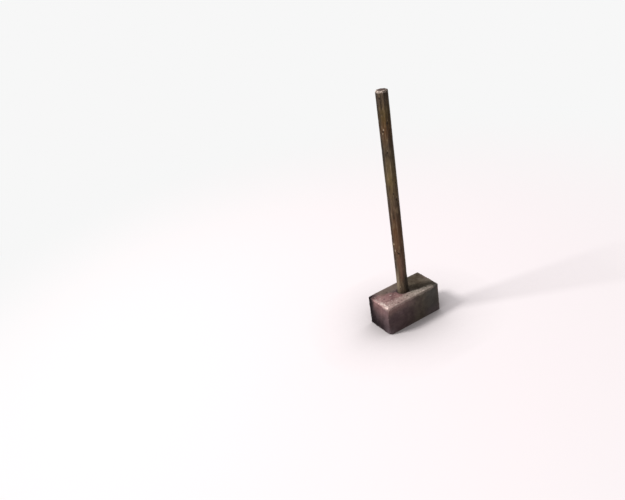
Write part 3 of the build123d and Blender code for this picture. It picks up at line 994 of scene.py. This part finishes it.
def wood_material():
    mat, nt, bsdf = nodes_of("haft_wood")
    t = Tree(nt)
    x, y, z = t.split(t.coord)
    arris, crack, knot, glint, bruise, groove, butt, rim, shade_and_tone, rosy, lit_strip = (
        t.attr(k) for k in ("arris", "crack", "knot", "glint", "bruise", "groove", "butt", "rim", "shade_and_tone", "rosy", "lit_strip")
    )
    # growth rings round a pith that lies outside the haft
    slow = t.noise(t.scale((30, 30, 3.2)), 1.0, 3.0, 0.5)
    warp = t.noise(t.scale((110, 110, 9)), 1.0, 4.0, 0.55)
    dx = t.math("SUBTRACT", x, 0.034)
    dy = t.math("ADD", y, 0.022)
    radius = t.math("SQRT", t.math("ADD", t.math("MULTIPLY", dx, dx), t.math("MULTIPLY", dy, dy)))
    radius = t.math("ADD", radius, t.math("MULTIPLY", t.math("SUBTRACT", slow, 0.5), 0.016))
    radius = t.math("ADD", radius, t.math("MULTIPLY", t.math("SUBTRACT", warp, 0.5), 0.0024))
    radius = t.math("ADD", radius, t.math("MULTIPLY", knot, 0.003))
    wave = t.math("FRACT", t.math("MULTIPLY", radius, 410.0))
    late = t.math("MULTIPLY", t.ramp(wave, 0.25, 0.86), t.ramp(wave, 1.0, 0.93), clamp=True)
    # fibres and pores
    fibre = t.noise(t.scale((1500, 1500, 26)), 1.0, 3.0, 0.6)
    streak = t.noise(t.scale((330, 330, 13)), 1.0, 4.0, 0.6)
    mottle = t.noise(t.scale((150, 150, 42)), 1.0, 4.0, 0.62)
    pore = t.ramp(t.noise(t.scale((1100, 1100, 60)), 1.0, 2.0, 0.5), 0.60, 0.70)
    blotch = t.noise(t.scale((34, 34, 15)), 1.0, 5.0, 0.6)
    # colour along the haft, butt at 1
    along = t.math("DIVIDE", t.math("ADD", z, t.math("MULTIPLY", t.math("SUBTRACT", blotch, 0.5), 0.05)), 0.71)
    base = t.colours(along, [
        (0.16, lin(82, 73, 61)),      # greenish grey beside the head
        (0.27, lin(113, 84, 67)),     # rosy brown
        (0.43, lin(103, 67, 41)),     # hand-worn russet
        (0.56, lin(92, 74, 57)),      # weathered grey brown
        (0.65, lin(112, 94, 56)),     # olive
        (0.77, lin(84, 72, 56)),      # grey brown
        (0.85, lin(91, 57, 27)),      # russet
        (0.91, lin(93, 76, 35)),      # olive
        (0.97, lin(80, 67, 57)),      # grey at the butt
    ])
    col = t.mix(t.math("MULTIPLY", late, 0.30), base, lin(66, 50, 38))
    col = t.mix(t.ramp(streak, 0.46, 0.72, 0.0, 0.34), col, lin(140, 119, 96))
    col = t.mix(t.ramp(streak, 0.50, 0.28, 0.0, 0.34), col, lin(60, 46, 36))
    col = t.mix(t.ramp(mottle, 0.47, 0.32, 0.0, 0.75), col, lin(46, 36, 27))
    col = t.mix(t.ramp(mottle, 0.54, 0.70, 0.0, 0.55), col, lin(150, 130, 100))
    col = t.mix(t.ramp(fibre, 0.45, 0.75, 0.0, 0.28), col, lin(152, 131, 106))
    col = t.mix(t.math("MULTIPLY", pore, 0.45), col, lin(44, 33, 26))
    col = t.mix(t.ramp(blotch, 0.52, 0.75, 0.0, 0.32), col, lin(64, 52, 42))
    col = t.mix(t.math("MULTIPLY", groove, 0.38), col, lin(54, 42, 33))
    col = t.mix(t.math("MULTIPLY", rosy, 0.50), col, lin(112, 76, 66))
    # painted highlight on the left facets beside the head
    col = t.mix(t.math("MULTIPLY", lit_strip, 0.56), col, lin(141, 128, 109))
    # rubbed arrises are paler, with a painted highlight along them, bruises a little too
    col = t.mix(t.math("MULTIPLY", arris, t.ramp(streak, 0.35, 0.65, 0.0, 0.26)), col, lin(150, 128, 108))
    col = t.mix(t.math("MULTIPLY", bruise, 0.28), col, lin(140, 119, 100))
    # painted shade round the girth, with a random patchy tone
    col = t.mix(t.math("SUBTRACT", 1.0, shade_and_tone, clamp=True), col, lin(12, 8, 6))
    col = t.mix(t.math("MULTIPLY", t.ramp(glint, 0.15, 0.8), 0.8), col, lin(196, 178, 152))
    col = t.mix(t.math("MULTIPLY", t.ramp(knot, 0.10, 0.6), 0.92), col, lin(30, 21, 16))
    col = t.mix(t.ramp(crack, 0.1, 0.75, 0.0, 0.88), col, lin(27, 19, 14))
    # end grain and the bruised rim of the butt
    end = t.mix(late, lin(110, 94, 88), lin(62, 49, 45))
    end = t.mix(t.ramp(t.noise(t.coord, 900.0, 3.0, 0.6), 0.5, 0.7, 0.0, 0.6), end, lin(46, 36, 32))
    end = t.mix(t.ramp(t.noise(t.coord, 90.0, 3.0, 0.6), 0.4, 0.7, 0.0, 0.7), end, lin(70, 56, 52))
    end = t.mix(t.ramp(crack, 0.1, 0.6), end, lin(20, 14, 11))
    col = t.mix(butt, col, end)
    scuffed = t.math("MULTIPLY", rim, t.ramp(t.noise(t.coord, 210.0, 4.0, 0.6), 0.34, 0.56))
    col = t.mix(t.math("MULTIPLY", scuffed, 0.85), col, lin(188, 172, 162))
    # darker close to the head
    low = t.ramp(t.math("ADD", z, t.math("MULTIPLY", t.math("SUBTRACT", streak, 0.5), 0.03)), 0.120, 0.092)
    col = t.mix(t.math("MULTIPLY", low, 0.6), col, lin(48, 38, 32))
    nt.links.new(col, bsdf.inputs["Base Color"])
    bsdf.inputs["Specular IOR Level"].default_value = 0.2
    rough = t.math("ADD", 0.46, t.math("MULTIPLY", streak, 0.3))
    rough = t.math("SUBTRACT", rough, t.math("MULTIPLY", arris, 0.08))
    rough = t.math("ADD", rough, t.math("MULTIPLY", butt, 0.15), clamp=True)
    nt.links.new(rough, bsdf.inputs["Roughness"])
    height = t.math("ADD", t.math("MULTIPLY", fibre, 0.5), t.math("MULTIPLY", streak, 0.7))
    height = t.math("SUBTRACT", height, t.math("MULTIPLY", pore, 0.5))
    height = t.math("SUBTRACT", height, t.math("MULTIPLY", late, 0.25))
    nt.links.new(t.bump(height, 0.6, 0.0006), bsdf.inputs["Normal"])
    return mat


def wedge_wood_material():
    mat, nt, bsdf = nodes_of("wedge_wood")
    t = Tree(nt)
    x, y, z = t.split(t.coord)
    fibre = t.noise(t.scale((900, 900, 40)), 1.0, 4.0, 0.6)
    streak = t.noise(t.scale((220, 300, 12)), 1.0, 4.0, 0.6)
    col = t.colours(streak, [(0.3, lin(120, 92, 62)), (0.6, lin(158, 128, 92))])
    col = t.mix(t.ramp(fibre, 0.45, 0.7, 0.0, 0.5), col, lin(82, 60, 40))
    col = t.mix(t.ramp(z, 0.006, 0.0008, 0.0, 0.6), col, lin(60, 46, 36))
    nt.links.new(col, bsdf.inputs["Base Color"])
    nt.links.new(t.ramp(fibre, 0.3, 0.7, 0.62, 0.85), bsdf.inputs["Roughness"])
    nt.links.new(t.bump(fibre, 0.5, 0.0005), bsdf.inputs["Normal"])
    return mat


def wedge_steel_material():
    mat, nt, bsdf = nodes_of("wedge_steel")
    t = Tree(nt)
    mid = t.noise(t.coord, 300.0, 6.0, 0.6)
    fine = t.noise(t.coord, 1200.0, 4.0, 0.6)
    col = t.colours(mid, [(0.3, lin(74, 66, 62)), (0.55, lin(120, 108, 98)), (0.7, lin(150, 120, 100))])
    nt.links.new(col, bsdf.inputs["Base Color"])
    bsdf.inputs["Metallic"].default_value = 0.7
    nt.links.new(t.ramp(mid, 0.3, 0.7, 0.4, 0.75), bsdf.inputs["Roughness"])
    nt.links.new(t.bump(fine, 0.4, 0.0003), bsdf.inputs["Normal"])
    return mat


head.data.materials.append(steel_material())
haft.data.materials.append(wood_material())
small_steel = wedge_steel_material()
for node, mat in (
    ("wood_wedge", wedge_wood_material()),
    ("steel_wedge_left", small_steel),
    ("steel_wedge_right", small_steel),
):
    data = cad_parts[node].data
    data.materials.clear()
    data.materials.append(mat)

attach(head, "root")
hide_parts("hammer_head")
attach(haft, "root")
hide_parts("handle")


# ----------------------------------------------------------------------- stage
def floor():
    mesh = bpy.data.meshes.new("floor")
    s = 40.0
    mesh.from_pydata([(-s, -s, 0), (s, -s, 0), (s, s, 0), (-s, s, 0)], [], [(0, 1, 2, 3)])
    o = bpy.data.objects.new("floor", mesh)
    bpy.context.scene.collection.objects.link(o)
    mat = bpy.data.materials.new("floor")
    mat.use_nodes = True
    nt = mat.node_tree
    nt.nodes.clear()
    new = nt.nodes.new
    link = nt.links.new
    out = new("ShaderNodeOutputMaterial")
    # seen: pale paper that keeps a soft contact shadow, running out to an even backdrop
    diff = new("ShaderNodeBsdfDiffuse")
    diff.inputs[0].default_value = (*FLOOR_DIFFUSE, 1)
    glow = new("ShaderNodeEmission")
    glow.inputs[0].default_value = (*FLOOR_GLOW, 1)
    # the glow dies away in the corner under the object, as daylight from all sides would
    shade = new("ShaderNodeAmbientOcclusion")
    shade.samples = 16
    shade.inputs["Distance"].default_value = 0.22
    power = new("ShaderNodeMath")
    power.operation = "POWER"
    link(shade.outputs["AO"], power.inputs[0])
    power.inputs[1].default_value = 3.0
    link(power.outputs[0], glow.inputs[1])
    both = new("ShaderNodeAddShader")
    link(diff.outputs[0], both.inputs[0])
    link(glow.outputs[0], both.inputs[1])
    far = new("ShaderNodeEmission")
    far.inputs[0].default_value = (0.93, 0.93, 0.93, 1)
    coord = new("ShaderNodeTexCoord")
    length = new("ShaderNodeVectorMath")
    length.operation = "LENGTH"
    link(coord.outputs["Object"], length.inputs[0])
    reach = new("ShaderNodeMapRange")
    reach.interpolation_type = "SMOOTHSTEP"
    reach.inputs["From Min"].default_value = 0.45
    reach.inputs["From Max"].default_value = 1.9
    link(length.outputs["Value"], reach.inputs["Value"])
    seen = new("ShaderNodeMixShader")
    link(reach.outputs[0], seen.inputs[0])
    link(both.outputs[0], seen.inputs[1])
    link(far.outputs[0], seen.inputs[2])
    # what it gives back to the object
    back = new("ShaderNodeBsdfDiffuse")
    back.inputs[0].default_value = (*FLOOR_BOUNCE, 1)
    path = new("ShaderNodeLightPath")
    choose = new("ShaderNodeMixShader")
    link(path.outputs["Is Camera Ray"], choose.inputs[0])
    link(back.outputs[0], choose.inputs[1])
    link(seen.outputs[0], choose.inputs[2])
    link(choose.outputs[0], out.inputs[0])
    mesh.materials.append(mat)


FLOOR_DIFFUSE = (0.42, 0.395, 0.405)
FLOOR_GLOW = (0.50, 0.462, 0.478)
FLOOR_BOUNCE = (0.46, 0.43, 0.435)
WORLD_LIGHT = 0.30
KEY_POWER = 420.0
floor()

world = bpy.data.worlds.new("world")
bpy.context.scene.world = world
world.use_nodes = True
wt = world.node_tree
wt.nodes.clear()
w_out = wt.nodes.new("ShaderNodeOutputWorld")
seen = wt.nodes.new("ShaderNodeBackground")
seen.inputs[0].default_value = (0.93, 0.93, 0.93, 1)
light = wt.nodes.new("ShaderNodeBackground")
light.inputs[0].default_value = (1.0, 0.975, 0.94, 1)
light.inputs[1].default_value = WORLD_LIGHT
path = wt.nodes.new("ShaderNodeLightPath")
choose = wt.nodes.new("ShaderNodeMixShader")
wt.links.new(path.outputs["Is Camera Ray"], choose.inputs[0])
wt.links.new(light.outputs[0], choose.inputs[1])
wt.links.new(seen.outputs[0], choose.inputs[2])
wt.links.new(choose.outputs[0], w_out.inputs[0])


def area(name, location, target, size, power, colour):
    data = bpy.data.lights.new(name, "AREA")
    data.shape = "RECTANGLE"
    data.size, data.size_y = size
    data.energy = power
    data.color = colour
    o = bpy.data.objects.new(name, data)
    bpy.context.scene.collection.objects.link(o)
    o.location = location
    o.rotation_mode = "QUATERNION"
    o.rotation_quaternion = (Vector(target) - Vector(location)).to_track_quat("-Z", "Y")
    return o


area("key", (-3.88, 1.46, 4.47), (0, 0, 0.15), (1.2, 1.2), KEY_POWER, (1.0, 0.985, 0.96))
area("fill", (0.4, -2.6, 1.5), (0, 0, 0.3), (1.8, 1.4), 6.0, (1.0, 0.98, 0.95))
area("side", (2.4, 0.6, 1.6), (0, 0, 0.3), (1.6, 1.4), 14.0, (1.0, 0.97, 0.93))

view = bpy.context.scene.view_settings
view.view_transform = "Standard"
view.look = "None"
view.exposure = 0.0
view.gamma = 1.0
